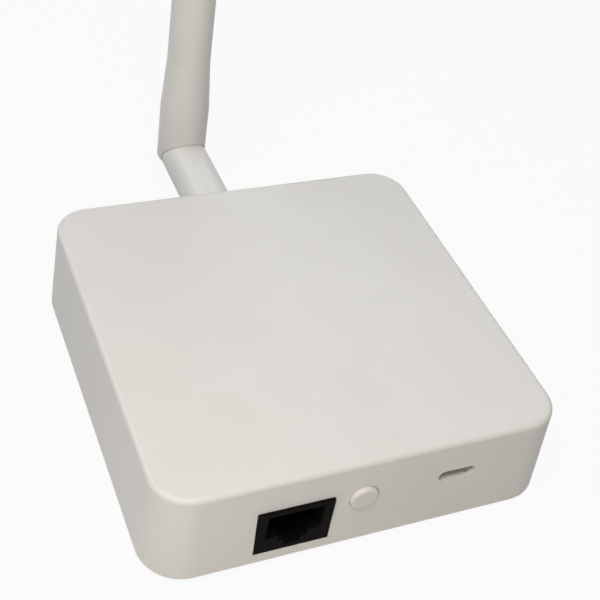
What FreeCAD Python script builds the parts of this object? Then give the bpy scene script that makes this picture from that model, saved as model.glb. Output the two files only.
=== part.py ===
# A small square wired radio gateway with a hinged stick antenna on its back wall.
# Millimetres. +Z is up, the front wall with its sockets faces -Y, +X is to the right as seen from
# the front. The origin is the middle of the case on the surface that the rubber feet stand on.
import FreeCAD, Part
import math
import os
from FreeCAD import Vector

# Working allowances: how far a cut runs past a face, and how far joined lumps run together
cut_margin = 1.0
lump_overlap = 0.5

# Moulded case
foot_height = 0.8
case_height = 22.75
top_width = 88.0
top_depth = 88.0
wall_flare = 1.4
corner_radius = 8.0
wall = 2.0
top_thickness = 2.0
top_edge_radius = 1.1
foot_edge_radius = 0.5
ledge_length = 9.0
ledge_thickness = 1.2
ledge_height = 3.0
ledge_offset = 22.0

# Base plate, set flush between the walls
plate_thickness = 2.0
plate_gap = 0.15
plate_edge_chamfer = 0.4
vent_count = 8
vent_width = 1.8
vent_length = 26.0
vent_pitch = 4.2
keyhole_spacing = 54.0
keyhole_entry_radius = 4.2
keyhole_slot_radius = 2.2
keyhole_slot_length = 9.0

# Rubber feet in shallow seats
foot_radius = 4.5
foot_seat_depth = 0.5
foot_seat_gap = 0.2
foot_inset_x = 8.5
foot_inset_y = 19.5
foot_edge_chamfer = 0.25

# Corner bosses and the screws that hold the base plate
case_screw_inset = 5.4
case_boss_radius = 3.5
case_screw_radius = 1.15
case_screw_length = 9.0
case_head_radius = 2.3
case_head_height = 1.0
case_head_sink = 0.2
case_screw_clearance = 0.3
screw_tip_room = 1.0
screw_head_rounding = 0.4
thread_gap = 0.05
drive_slot_width = 0.5
drive_recess_radius = 1.1
drive_recess_depth = 0.55

# Circuit board, hung upside down from four bosses under the top, so that the tall network socket
# on it just clears the base plate
board_thickness = 1.6
board_edge_gap = 1.0
board_corner_radius = 1.5
board_rear_gap = 2.2
board_corner_notch_gap = 0.5
board_boss_radius = 2.75
board_boss_inset_x = 12.5
board_boss_inset_front = 14.0
board_boss_inset_rear = 12.0
board_hole_radius = 1.4
board_screw_radius = 1.1
board_screw_length = 4.2
board_head_radius = 2.2
board_head_height = 1.5
board_notch_block = 30.0

# Network socket
socket_x = -15.95
socket_nose_width = 16.1
socket_nose_height = 12.2
socket_nose_drop = 0.1
socket_nose_recess = 0.1
socket_floor_gap = 0.7
socket_body_width = 16.6
socket_body_height = 12.4
socket_body_depth = 15.6
socket_panel_gap = 0.3
opening_gap = 0.1
plug_width = 11.9
plug_height = 6.9
plug_roof = 1.0
plug_depth = 13.2
latch_step_width = 6.4
latch_step_height = 1.5
latch_slot_width = 3.6
latch_slot_height = 1.5
contact_count = 8
contact_pitch = 1.02
contact_width = 0.45
contact_thickness = 0.3
contact_tab = 1.2
contact_reach = 7.0
contact_fall = 3.4
contact_mouth_inset = 2.2

# Power socket, behind a thin lip of the wall that hides the edge of its shell
power_x = 19.75
power_width = 8.94
power_height = 3.26
power_sheet = 0.3
power_depth = 7.6
power_lip = 0.8
power_lip_gap = 0.05
power_pocket_gap = 0.15
power_back_block = 2.2
tongue_width = 6.69
tongue_height = 0.7
tongue_reach = 4.45
insert_gap = 0.03

# Reset button and the push switch behind it
button_x = -1.3
button_radius = 3.1
button_proud = 0.8
button_gap = 0.12
button_edge_radius = 0.75
button_flange_radius = 4.0
button_flange_thickness = 0.8
button_stem_radius = 1.1
button_stem_length = 1.6
button_travel = 0.5
button_notch_gap = 0.6
switch_axis_drop = 2.2
switch_width = 6.0
switch_depth = 3.8
switch_height = 3.6
switch_plunger_radius = 1.0
switch_plunger_show = 0.8
switch_plunger_inside = 1.5
switch_stroke_room = 0.4
slide_gap = 0.05

# Antenna connector through the back wall
antenna_x = -2.95
antenna_drop = 1.1
connector_thread_radius = 3.1
connector_length = 9.0
connector_flange_across = 8.0
connector_flange_thickness = 2.0
connector_hole_gap = 0.2
connector_bore_radius = 2.3
connector_bore_depth = 8.0
connector_tail_radius = 2.0
connector_tail_length = 4.0
connector_pad_radius = 6.5
connector_pad_depth = 0.4
connector_seat_radius = 6.9
connector_seat_sink = 0.05
connector_notch_gap = 1.0
washer_radius = 4.9
washer_thickness = 0.5
nut_across = 8.0
nut_thickness = 2.0
dielectric_length = 5.5
socket_contact_radius = 0.62
socket_contact_bore = 0.5
socket_contact_length = 4.4
socket_contact_floor = 0.6
plug_pin_radius = 0.45
plug_pin_engagement = 3.1
plug_core_radius = 1.9

# Antenna
coupling_gap = 0.5
coupling_length = 8.2
coupling_radius = 4.6
coupling_end_wall = 2.0
coupling_collar_radius = 5.0
coupling_collar_width = 1.0
coupling_collar_back = 2.6
collar_room = 0.2
turning_gap = 0.05
barrel_radius = 5.75
barrel_gap = 0.3
barrel_edge_chamfer = 0.5
cable_bore_radius = 1.6
elbow_behind_wall = 28.7
hinge_side_gap = 0.12
tongue_thickness = 5.0
tongue_radius = 4.9
tongue_swing_gap = 0.3
ball_gap = 0.2
saddle_gap = 0.15
hinge_pin_radius = 1.0
hinge_pin_inset = 0.1
hinge_fit_gap = 0.06
sleeve_radius = 6.2
sleeve_rim_drop = 1.3
sleeve_rim_chamfer = 0.12
sleeve_straight_top = 14.2
sleeve_taper_length = 13.5
sleeve_lip_chamfer = 0.12
rod_radius = 5.35
rod_tip_radius = 4.9
rod_tip_rounding = 3.7
rod_length_above_hinge = 168.0
rod_wall = 1.1
rod_end_length = 9.8
rod_socket_depth = 10.0
rod_spigot_step = 0.45
rod_joint_gap = 0.05
feed_radius = 1.5
feed_length = 62.0
feed_foot_height = 8.0
radiator_radius = 2.3
radiator_length = 27.0
radiator_cap = 0.8
whip_radius = 0.6
whip_end_gap = 8.0
spacer_thickness = 4.0
spacer_gap = 0.1

# Parts on the board. A place is the side it is measured from ("left" or "right" edge of the board, or
# along from the middle of the network "socket"), the distance, the end it is measured from ("front"
# or "rear" edge), the distance, and then the part's width, depth and height.
radio_module_place = ("left", 21.0, "rear", 20.17, 16.0, 24.0, 0.9)
radio_shield_size = (14.0, 15.0, 2.1)
radio_socket_size = (3.0, 3.0, 1.3)
radio_socket_inset = 3.0
network_module_place = ("right", 19.4, "front", 49.37, 18.0, 25.5, 0.9)
network_shield_size = (15.8, 17.6, 2.2)
shield_sheet = 0.2
shield_corner_radius = 0.8
shield_edge_gap = 1.0
transformer_place = ("socket", 0.0, "front", 23.87, 12.7, 9.4, 4.0)
transformer_leg_count = 8
network_chip_place = ("socket", 0.0, "front", 34.87, 5.0, 5.0, 0.9)
serial_chip_place = ("right", 34.9, "front", 17.37, 5.0, 5.0, 0.9)
chip_leg_width = 0.3
chip_leg_reach = 0.8
chip_leg_thickness = 0.2
chip_leg_end_gap = 0.5
regulator_place = ("right", 9.9, "front", 23.37, 6.5, 3.5, 1.7)
regulator_leg_size = (0.75, 1.5, 0.3)
regulator_leg_pitch = 2.3
regulator_leg_count = 3
regulator_tab_size = (3.0, 1.6, 0.3)
coil_place = ("right", 18.9, "front", 22.87, 5.0, 5.0, 3.0)
coil_corner_radius = 1.0
crystal_places = (("socket", 8.95, "front", 34.87, 3.2, 2.5, 0.9),
                  ("right", 34.9, "front", 25.87, 3.2, 2.5, 0.9))
tank_capacitor_places = (("right", 8.4, "front", 16.37, 3.5, 2.8, 1.9),
                         ("right", 27.4, "front", 17.37, 3.5, 2.8, 1.9))
status_light_count = 3
status_light_pitch = 4.0
status_light_place = ("socket", 19.45, "front", 4.87, 0.8, 1.6, 0.7)
small_part_size = (1.0, 1.6, 0.55)
small_part_pitch = 2.6
small_part_starts = (("left", 11.4, "front", 38.37), ("right", 37.4, "front", 32.37),
                     ("right", 19.4, "front", 28.87), ("left", 33.4, "rear", 14.17))
small_part_counts = (5, 4, 4, 4)
lead_radius = 0.56
lead_bend_radius = 4.0
lead_gap = 0.3
lead_run_in = 8.8

# Heights worked out from the sizes above
case_top = foot_height + case_height
ceiling = case_top - top_thickness
plate_top = foot_height + plate_thickness
board_under = plate_top + socket_floor_gap + socket_body_height
board_top = board_under + board_thickness
socket_top = board_under - socket_nose_drop
socket_bottom = socket_top - socket_nose_height
power_z = board_under - power_height / 2
button_z = board_under - switch_axis_drop
antenna_z = board_under - antenna_drop

X = Vector(1, 0, 0)
Y = Vector(0, 1, 0)
Z = Vector(0, 0, 1)


def half_width(z, inset=0.0):
    """Distance of a side wall's outer face from the middle at height z, less an inset."""
    return top_width / 2 + wall_flare * (case_top - z) / case_height - inset


def half_depth(z, inset=0.0):
    """Distance of the front or back wall's outer face from the middle at height z, less an inset."""
    return top_depth / 2 + wall_flare * (case_top - z) / case_height - inset


def rounded_outline(width, depth, radius, z=0.0, x=0.0, y=0.0):
    """A rectangle with round corners, as a closed wire in a level plane."""
    a = width / 2 - radius
    b = depth / 2 - radius
    edges = []
    for turn, sx, sy in ((0, 1, 1), (90, -1, 1), (180, -1, -1), (270, 1, -1)):
        centre = Vector(x + sx * a, y + sy * b, z)
        arc = Part.makeCircle(radius, centre, Z, turn, turn + 90)
        edges.append(arc)
    joined = []
    for index, arc in enumerate(edges):
        joined.append(arc)
        start = arc.Vertexes[-1].Point
        end = edges[(index + 1) % 4].Vertexes[0].Point
        if start.distanceToPoint(end) > 1e-6:
            joined.append(Part.makeLine(start, end))
    return Part.Wire(joined)


def slab(width, depth, height, radius, x, y, z):
    """An upright prism on a rounded rectangle, its low face at z."""
    face = Part.Face(rounded_outline(width, depth, radius, z, x, y))
    return face.extrude(Vector(0, 0, height))


def block(width, depth, height, x, y, z):
    """A plain block centred on x and y, its low face at z."""
    return Part.makeBox(width, depth, height, Vector(x - width / 2, y - depth / 2, z))


def rod(radius, length, start, along):
    return Part.makeCylinder(radius, length, start, along)


def tube(outer, inner, length, start, along):
    return rod(outer, length, start, along).cut(rod(inner, length, start, along))


def hexagon(across, length, start):
    """A hexagonal prism along +Y, across its flats, with two flats level."""
    corner = across / math.sqrt(3)
    points = []
    for index in range(7):
        angle = math.radians(60 * index)
        points.append(start + Vector(corner * math.cos(angle), 0, corner * math.sin(angle)))
    return Part.Face(Part.makePolygon(points)).extrude(Y * length)


def racetrack(width, height, length, x, y, z):
    """A flat oval prism along +Y."""
    reach = width / 2 - height / 2
    shape = Part.makeBox(2 * reach, length, height, Vector(x - reach, y, z - height / 2))
    for side in (-1, 1):
        shape = shape.fuse(rod(height / 2, length, Vector(x + side * reach, y, z), Y))
    return shape.removeSplitter()


def fused(shapes):
    return shapes[0].multiFuse(shapes[1:]).removeSplitter()


def turned(profile, start, along):
    """A solid turned about an axis from (radius, distance) points of its half section."""
    side = Vector(1, 0, 0)
    points = [start + side * r + along * d for r, d in profile]
    face = Part.Face(Part.makePolygon(points + [points[0]]))
    return face.revolve(start, along, 360)


def ring_edges(shape, radius, place, along):
    """Round edges of one radius whose centre lies at a distance along an axis."""
    found = []
    for edge in shape.Edges:
        if edge.Degenerated or edge.Curve.TypeId != "Part::GeomCircle":
            continue
        if abs(edge.Curve.Radius - radius) > 1e-4:
            continue
        if abs(edge.Curve.Center.dot(along) - place) < 1e-4:
            found.append(edge)
    return found


def corners(spacing_x, low_y, high_y):
    """Four places, mirrored left and right."""
    return [(side * spacing_x / 2, y) for side in (-1, 1) for y in (low_y, high_y)]


def case_screw_places():
    reach_y = top_depth / 2 - case_screw_inset
    return corners(top_width - 2 * case_screw_inset, -reach_y, reach_y)


def foot_places():
    reach_y = top_depth / 2 - foot_inset_y
    return corners(top_width - 2 * foot_inset_x, -reach_y, reach_y)


def board_boss_places():
    front = board_boss_inset_front - top_depth / 2
    rear = top_depth / 2 - board_boss_inset_rear
    return corners(top_width - 2 * board_boss_inset_x, front, rear)


def outline_radius(z, inset=0.0):
    """Corner radius of the case's outline at height z, drawn in by an inset."""
    return corner_radius + wall_flare * (case_top - z) / case_height - inset


def case_body(inset, low, high):
    """The flared block of the case, drawn in by an inset, between two heights."""
    wires = []
    for z in (low, high):
        width = 2 * half_width(z, inset)
        depth = 2 * half_depth(z, inset)
        wires.append(rounded_outline(width, depth, outline_radius(z, inset), z))
    return Part.makeLoft(wires, True, True)


def case_shell():
    """The outer skin of the cover: flared block with rounded top and foot edges, hollowed."""
    outer = case_body(0.0, foot_height, case_top)
    rim = [e for e in outer.Edges if abs(e.BoundBox.ZMin - case_top) < 1e-4]
    outer = outer.makeFillet(top_edge_radius, rim)
    foot_rim = [e for e in outer.Edges if abs(e.BoundBox.ZMax - foot_height) < 1e-4]
    outer = outer.makeFillet(foot_edge_radius, foot_rim)
    return outer.cut(case_body(wall, foot_height - cut_margin, ceiling))


def plate_ledges():
    """Short ribs inside the side walls and the back wall, which the base plate rests against."""
    ribs = []
    thickness = ledge_thickness + wall / 2
    shift = wall / 2 - thickness / 2
    for side in (-1, 1):
        for y in (-ledge_offset, ledge_offset):
            x = side * (half_width(plate_top, wall) + shift)
            ribs.append(block(thickness, ledge_length, ledge_height, x, y, plate_top))
        y = half_depth(plate_top, wall) + shift
        ribs.append(block(ledge_length, thickness, ledge_height, side * ledge_offset, y, plate_top))
    return ribs


def top_cover():
    """One moulding: plain top, four flared walls, bosses under the top, openings front and back."""
    added = plate_ledges()
    for x, y in case_screw_places():
        boss = rod(case_boss_radius, ceiling - plate_top, Vector(x, y, plate_top), Z)
        added.append(boss.common(case_body(wall / 2, foot_height, case_top - top_thickness / 2)))
    for x, y in board_boss_places():
        added.append(rod(board_boss_radius, ceiling - board_top, Vector(x, y, board_top), Z))
    added.append(rod(connector_pad_radius, wall, on_antenna_axis(connector_pad()), Y))
    shell = fused([case_shell()] + added)
    cuts = [socket_opening(), power_opening(), button_opening()]
    for x, y in case_screw_places():
        tip = foot_height + case_head_sink + case_head_height + case_screw_length
        low = plate_top - cut_margin
        cuts.append(rod(case_screw_radius + thread_gap, tip + screw_tip_room - low, Vector(x, y, low), Z))
    for x, y in board_boss_places():
        depth = board_screw_length - board_thickness + lump_overlap
        cuts.append(rod(board_screw_radius + thread_gap, depth, Vector(x, y, board_top), Z))
    bore = connector_thread_radius + connector_hole_gap
    cuts.append(rod(bore, 3 * wall, on_antenna_axis(connector_pad() - cut_margin), Y))
    cuts.append(rod(connector_seat_radius, 2 * wall, on_antenna_axis(connector_seat()), Y))
    return shell.cut(cuts[0].multiFuse(cuts[1:]))


def on_antenna_axis(y):
    """A point on the line of the antenna's connector and barrel."""
    return Vector(antenna_x, y, antenna_z)


def connector_seat():
    """The y of the flat spot on the outside of the back wall, where the washer lies."""
    return half_depth(antenna_z + connector_seat_radius) - connector_seat_sink


def connector_pad():
    """The y of the flat pad inside the back wall, where the connector's flange lies."""
    return half_depth(antenna_z + connector_pad_radius, wall) - connector_pad_depth


def front_cut_start():
    return -half_depth(foot_height) - cut_margin


def front_cut_depth():
    """Deep enough for a cut from before the foot of the front wall to go through it at any height."""
    return wall + wall_flare + 2 * cut_margin


def socket_opening():
    width = socket_nose_width + 2 * opening_gap
    height = socket_nose_height + 2 * opening_gap
    return block(width, front_cut_depth(), height, socket_x,
                 front_cut_start() + front_cut_depth() / 2, socket_bottom - opening_gap)


def power_pocket_front():
    """The y where the lip of the wall ends and the pocket for the power socket's shell begins."""
    return -(half_depth(power_z + power_height / 2) - power_lip)


def power_opening():
    """Oval hole through the lip, as large as the shell's mouth, with the shell's pocket behind it."""
    trim = power_sheet - power_lip_gap
    hole = racetrack(power_width - 2 * trim, power_height - 2 * trim, front_cut_depth(), power_x,
                     front_cut_start(), power_z)
    pocket = racetrack(power_width + 2 * power_pocket_gap, power_height + 2 * power_pocket_gap,
                       front_cut_depth(), power_x, power_pocket_front(), power_z)
    return hole.fuse(pocket)


def button_opening():
    start = Vector(button_x, front_cut_start(), button_z)
    return rod(button_radius + button_gap, front_cut_depth(), start, Y)


def base_plate():
    """Flat plate with foot seats, screw holes, vents and two keyholes for hanging."""
    width = 2 * (half_width(plate_top, wall) - plate_gap)
    depth = 2 * (half_depth(plate_top, wall) - plate_gap)
    plate = slab(width, depth, plate_thickness, outline_radius(plate_top, wall + plate_gap), 0, 0,
                 foot_height)
    rim = [e for e in plate.Edges if abs(e.BoundBox.ZMax - foot_height) < 1e-4]
    plate = plate.makeChamfer(plate_edge_chamfer, rim)
    low = foot_height - cut_margin
    through = plate_thickness + 2 * cut_margin
    cuts = []
    for x, y in foot_places():
        cuts.append(rod(foot_radius + foot_seat_gap, foot_seat_depth + cut_margin, Vector(x, y, low), Z))
    for x, y in case_screw_places():
        sink = case_head_sink + case_head_height + cut_margin
        cuts.append(rod(case_screw_radius + case_screw_clearance, through, Vector(x, y, low), Z))
        cuts.append(rod(case_head_radius + case_screw_clearance, sink, Vector(x, y, low), Z))
    for index in range(vent_count):
        y = (index - (vent_count - 1) / 2) * vent_pitch
        cuts.append(slab(vent_length, vent_width, through, vent_width / 2, 0, y, low))
    for side in (-1, 1):
        x = side * keyhole_spacing / 2
        cuts.append(rod(keyhole_entry_radius, through, Vector(x, 0, low), Z))
        cuts.append(block(2 * keyhole_slot_radius, keyhole_slot_length, through,
                          x, keyhole_slot_length / 2, low))
        cuts.append(rod(keyhole_slot_radius, through, Vector(x, keyhole_slot_length, low), Z))
    return plate.cut(cuts[0].multiFuse(cuts[1:]))


def rubber_feet():
    feet = []
    for x, y in foot_places():
        foot = rod(foot_radius, foot_height + foot_seat_depth, Vector(x, y, 0), Z)
        foot = foot.makeChamfer(foot_edge_chamfer, ring_edges(foot, foot_radius, 0, Z))
        feet.append(foot)
    return Part.makeCompound(feet)


def screw(head_radius, head_height, shank_radius, shank_length, x, y, head_low):
    """A pan-head screw that points up, its head's low face at head_low, with a cross recess."""
    head = rod(head_radius, head_height, Vector(x, y, head_low), Z)
    head = head.makeFillet(screw_head_rounding, ring_edges(head, head_radius, head_low, Z))
    shank = rod(shank_radius, shank_length, Vector(x, y, head_low + head_height), Z)
    reach = 2 * drive_recess_radius
    cross = block(reach, drive_slot_width, drive_recess_depth, x, y, head_low)
    cross = cross.fuse(block(drive_slot_width, reach, drive_recess_depth, x, y, head_low))
    return fused([head, shank]).cut(cross)


def case_screws():
    low = foot_height + case_head_sink
    return Part.makeCompound([
        screw(case_head_radius, case_head_height, case_screw_radius, case_screw_length, x, y, low)
        for x, y in case_screw_places()])


def board_screws():
    low = board_under - board_head_height
    return Part.makeCompound([
        screw(board_head_radius, board_head_height, board_screw_radius, board_screw_length, x, y, low)
        for x, y in board_boss_places()])


def board_front():
    return -(half_depth(board_top, wall) - board_edge_gap)


def board_rear():
    return half_depth(board_top, wall) - board_rear_gap


def board_side():
    """Distance of the board's left and right edges from the middle."""
    return half_width(board_top, wall) - board_edge_gap


def circuit_board():
    """Square board with notches for the corner bosses, the button and the antenna connector."""
    depth = board_rear() - board_front()
    middle = (board_rear() + board_front()) / 2
    board = slab(2 * board_side(), depth, board_thickness, board_corner_radius, 0, middle, board_under)
    low = board_under - cut_margin
    through = board_thickness + 2 * cut_margin
    big = board_notch_block
    cuts = []
    reach = case_boss_radius + board_corner_notch_gap
    for x, y in case_screw_places():
        corner_x = x + math.copysign(big / 2 - reach, x)
        corner_y = y + math.copysign(big / 2 - reach, y)
        cuts.append(slab(big, big, through, board_corner_radius, corner_x, corner_y, low))
    for x, y in board_boss_places():
        cuts.append(rod(board_hole_radius, through, Vector(x, y, low), Z))
    notch_width = 2 * (button_flange_radius + button_notch_gap)
    notch_end = button_flange_back() + button_travel + button_gap
    cuts.append(block(notch_width, big, through, button_x, notch_end - big / 2, low))
    notch_width = 2 * (connector_flange_across / math.sqrt(3) + connector_notch_gap)
    cuts.append(block(notch_width, big, through, antenna_x, connector_tail_end() + big / 2, low))
    return board.cut(cuts[0].multiFuse(cuts[1:]))


def socket_front():
    """The y of the network socket's body behind the wall."""
    return -(half_depth(board_under, wall) - socket_panel_gap)


def socket_nose_front():
    """The nose is flush with the foot of the flared wall, so its upper edge stands a little proud."""
    return -(half_depth(socket_bottom) - socket_nose_recess)


def plug_roof_height():
    return socket_top - plug_roof


def ethernet_jack():
    """Black moulded socket: body under the board, nose in the wall, stepped mouth for the latch."""
    low = board_under - socket_body_height
    front = socket_front()
    body = block(socket_body_width, socket_body_depth, socket_body_height,
                 socket_x, front + socket_body_depth / 2, low)
    nose_depth = front - socket_nose_front() + lump_overlap
    nose = block(socket_nose_width, nose_depth, socket_nose_height,
                 socket_x, socket_nose_front() + nose_depth / 2, socket_bottom)
    shape = fused([body, nose])
    start = socket_nose_front() - cut_margin
    depth = plug_depth + cut_margin
    floor = plug_roof_height() - plug_height
    step_low = floor - latch_step_height
    mouth = block(plug_width, depth, plug_height, socket_x, start + depth / 2, floor)
    step = block(latch_step_width, depth, latch_step_height + lump_overlap,
                 socket_x, start + depth / 2, step_low)
    slot = block(latch_slot_width, depth, latch_slot_height + lump_overlap,
                 socket_x, start + depth / 2, step_low - latch_slot_height)
    return shape.cut(fused([mouth, step, slot]))


def contact_start():
    return socket_nose_front() + contact_mouth_inset


def ethernet_contacts():
    """Eight sprung contacts: a flat tab on the roof of the mouth, then a slant down to the back."""
    roof = plug_roof_height()
    y0 = contact_start()
    t = contact_thickness
    profile = [
        (y0, roof), (y0 + contact_tab, roof),
        (y0 + contact_tab + contact_reach, roof - contact_fall),
        (y0 + contact_tab + contact_reach, roof - contact_fall - t),
        (y0 + contact_tab - t / 2, roof - t), (y0, roof - t)]
    contacts = []
    for index in range(contact_count):
        x = socket_x + (index - (contact_count - 1) / 2) * contact_pitch - contact_width / 2
        points = [Vector(x, y, z) for y, z in profile + profile[:1]]
        contacts.append(Part.Face(Part.makePolygon(points)).extrude(X * contact_width))
    return Part.makeCompound(contacts)


def power_mouth():
    return power_pocket_front() + insert_gap


def usb_c_shell():
    """Drawn steel shell of the power socket, flat against the board."""
    mouth = power_mouth()
    outer = racetrack(power_width, power_height, power_depth, power_x, mouth, power_z)
    inner = racetrack(power_width - 2 * power_sheet, power_height - 2 * power_sheet,
                      power_depth, power_x, mouth, power_z)
    return outer.cut(inner)


def usb_c_tongue():
    """Moulded insert that fills the back of the shell and carries the flat tongue."""
    mouth = power_mouth()
    sheet = power_sheet + insert_gap
    back = mouth + power_depth - power_back_block
    plug = racetrack(power_width - 2 * sheet, power_height - 2 * sheet, power_back_block,
                     power_x, back, power_z)
    reach = tongue_reach + lump_overlap
    tongue = block(tongue_width, reach, tongue_height,
                   power_x, back + lump_overlap - reach / 2, power_z - tongue_height / 2)
    return fused([plug, tongue])


def button_face():
    return -(half_depth(button_z) + button_proud)


def button_flange_front():
    return -(half_depth(button_z + button_flange_radius, wall) - button_gap)


def button_flange_back():
    return button_flange_front() + button_flange_thickness


def reset_button():
    """Moulded cap: a low round-edged disc in the wall, a flange behind it and a short stem."""
    start = Vector(button_x, 0, button_z)
    face = button_face()
    back = button_flange_back()
    cap = turned([
        (0, face), (button_radius, face), (button_radius, button_flange_front()),
        (button_flange_radius, button_flange_front()), (button_flange_radius, back),
        (button_stem_radius, back), (button_stem_radius, back + button_stem_length),
        (0, back + button_stem_length)], start, Y)
    return cap.makeFillet(button_edge_radius, ring_edges(cap, button_radius, face, Y))


def switch_front():
    return button_flange_back() + button_stem_length + switch_plunger_show


def reset_switch():
    """Side-push switch body under the board, bored for its plunger."""
    front = switch_front()
    body = block(switch_width, switch_depth, switch_height, button_x,
                 front + switch_depth / 2, board_under - switch_height)
    depth = switch_plunger_inside + button_travel + switch_stroke_room
    bore = rod(switch_plunger_radius + slide_gap, depth, Vector(button_x, front, button_z), Y)
    return body.cut(bore)


def reset_plunger():
    start = Vector(button_x, button_flange_back() + button_stem_length, button_z)
    return rod(switch_plunger_radius, switch_plunger_show + switch_plunger_inside, start, Y)


def board_place(side, across, end, along):
    """Middle x and y of a part on the board, from its distances to a named side and end."""
    x = {"left": across - board_side(), "right": board_side() - across, "socket": socket_x + across}
    y = {"front": board_front() + along, "rear": board_rear() - along}
    return x[side], y[end]


def board_part(place):
    width, depth, height = place[4:]
    x, y = board_place(*place[:4])
    return block(width, depth, height, x, y, board_under - height)


def shield_on(place, size):
    """A pressed can on a module, open towards the module, near its front edge."""
    _, module_depth, thickness = place[4:]
    width, depth, height = size
    x, y = board_place(*place[:4])
    middle = y - (module_depth - depth) / 2 + shield_edge_gap
    low = board_under - thickness - height
    can = slab(width, depth, height, shield_corner_radius, x, middle, low)
    room = block(width - 2 * shield_sheet, depth - 2 * shield_sheet, height, x, middle,
                 low + shield_sheet)
    return can.cut(room)


def radio_socket_place():
    """Middle of the small antenna socket near the module's back edge."""
    width, depth, thickness = radio_module_place[4:]
    x, y = board_place(*radio_module_place[:4])
    return (x + width / 2 - radio_socket_inset, y + depth / 2 - radio_socket_inset,
            board_under - thickness)


def radio_socket():
    """Small round-topped antenna socket, with the lead's end cap pressed on."""
    x, y, top = radio_socket_place()
    width, depth, height = radio_socket_size
    foot = block(width, depth, height / 2, x, y, top - height / 2)
    return fused([foot, rod(width / 2, height / 2, Vector(x, y, top - height), Z)])


def lead_route():
    """Corners of the lead's way from the radio module's socket to the connector's tail."""
    x, y, top = radio_socket_place()
    level = top - radio_socket_size[2] - lead_gap - lead_radius
    end = on_antenna_axis(connector_tail_end())
    return [Vector(x, y, level), end - Y * lead_run_in, end]


def antenna_lead():
    """Thin coaxial lead along straight runs joined by tangent arcs."""
    points = lead_route()
    edges = []
    start = points[0]
    for before, corner, after in zip(points, points[1:], points[2:]):
        to_before = (before - corner).normalize()
        to_after = (after - corner).normalize()
        turn = math.pi - to_before.getAngle(to_after)
        cut = lead_bend_radius * math.tan(turn / 2)
        enter = corner + to_before * cut
        leave = corner + to_after * cut
        inward = (to_before + to_after).normalize()
        middle = corner + inward * (lead_bend_radius / math.cos(turn / 2) - lead_bend_radius)
        edges.append(Part.makeLine(start, enter))
        edges.append(Part.Arc(enter, middle, leave).toShape())
        start = leave
    edges.append(Part.makeLine(start, points[-1]))
    along = (points[1] - points[0]).normalize()
    ring = Part.Wire([Part.makeCircle(lead_radius, points[0], along)])
    return Part.Wire(edges).makePipeShell([ring], True, False)


def small_parts():
    width, depth, height = small_part_size
    parts = []
    for start, count in zip(small_part_starts, small_part_counts):
        x, y = board_place(*start)
        for index in range(count):
            parts.append(block(width, depth, height, x + index * small_part_pitch, y,
                               board_under - height))
    return Part.makeCompound(parts)


def status_lights():
    width, depth, height = status_light_place[4:]
    x, y = board_place(*status_light_place[:4])
    return Part.makeCompound([
        block(width, depth, height, x + index * status_light_pitch, y, board_under - height)
        for index in range(status_light_count)])


def voltage_regulator():
    """Flat three-legged regulator with its wide tab."""
    depth = regulator_place[5]
    x, y = board_place(*regulator_place[:4])
    shapes = [board_part(regulator_place)]
    leg_width, leg_reach, leg_thickness = regulator_leg_size
    for index in range(regulator_leg_count):
        leg_x = x + (index - (regulator_leg_count - 1) / 2) * regulator_leg_pitch
        leg_y = y - (depth + leg_reach - lump_overlap) / 2
        shapes.append(block(leg_width, leg_reach + lump_overlap, leg_thickness, leg_x, leg_y,
                            board_under - leg_thickness))
    tab_width, tab_reach, tab_thickness = regulator_tab_size
    tab_y = y + (depth + tab_reach - lump_overlap) / 2
    shapes.append(block(tab_width, tab_reach + lump_overlap, tab_thickness, x, tab_y,
                        board_under - tab_thickness))
    return fused(shapes)


def power_inductor():
    """Square ferrite coil with rounded corners."""
    width, depth, height = coil_place[4:]
    x, y = board_place(*coil_place[:4])
    return slab(width, depth, height, coil_corner_radius, x, y, board_under - height)


def network_transformer():
    """Flat black block with a row of feet on two sides."""
    width, depth, _ = transformer_place[4:]
    x, y = board_place(*transformer_place[:4])
    shapes = [board_part(transformer_place)]
    pitch = (width - 2 * chip_leg_end_gap) / (transformer_leg_count - 1)
    for index in range(transformer_leg_count):
        leg_x = x + (index - (transformer_leg_count - 1) / 2) * pitch
        shapes.append(block(chip_leg_width, depth + 2 * chip_leg_reach, chip_leg_thickness, leg_x, y,
                            board_under - chip_leg_thickness))
    return fused(shapes)


def connector_tail_end():
    """The y where the connector's tail ends and the lead goes in."""
    return connector_pad() - connector_flange_thickness - connector_tail_length


def connector_end():
    return connector_seat() + connector_length


def connector_bore_floor():
    return connector_end() - connector_bore_depth


def insulator_face():
    return connector_bore_floor() + dielectric_length


def antenna_connector():
    """Threaded bulkhead jack: flange inside the wall, bored thread outside, tail for the lead."""
    pad = connector_pad()
    flange = hexagon(connector_flange_across, connector_flange_thickness,
                     on_antenna_axis(pad - connector_flange_thickness))
    thread = rod(connector_thread_radius, connector_end() - pad, on_antenna_axis(pad), Y)
    tail = rod(connector_tail_radius, connector_tail_length, on_antenna_axis(connector_tail_end()), Y)
    bore = rod(connector_bore_radius, connector_bore_depth + cut_margin,
               on_antenna_axis(connector_bore_floor()), Y)
    return fused([flange, thread, tail]).cut(bore)


def connector_insulator():
    """White insulator at the bottom of the connector's bore."""
    body = rod(connector_bore_radius - thread_gap, dielectric_length,
               on_antenna_axis(connector_bore_floor()), Y)
    bore = rod(socket_contact_radius + thread_gap, socket_contact_length,
               on_antenna_axis(insulator_face() - socket_contact_length), Y)
    return body.cut(bore)


def connector_contact():
    """Gilt centre socket in the insulator."""
    start = on_antenna_axis(insulator_face() - socket_contact_length)
    body = rod(socket_contact_radius, socket_contact_length, start, Y)
    return body.cut(rod(socket_contact_bore, socket_contact_length, start + Y * socket_contact_floor, Y))


def connector_washer():
    return tube(washer_radius, connector_thread_radius + thread_gap, washer_thickness,
                on_antenna_axis(connector_seat()), Y)


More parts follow.
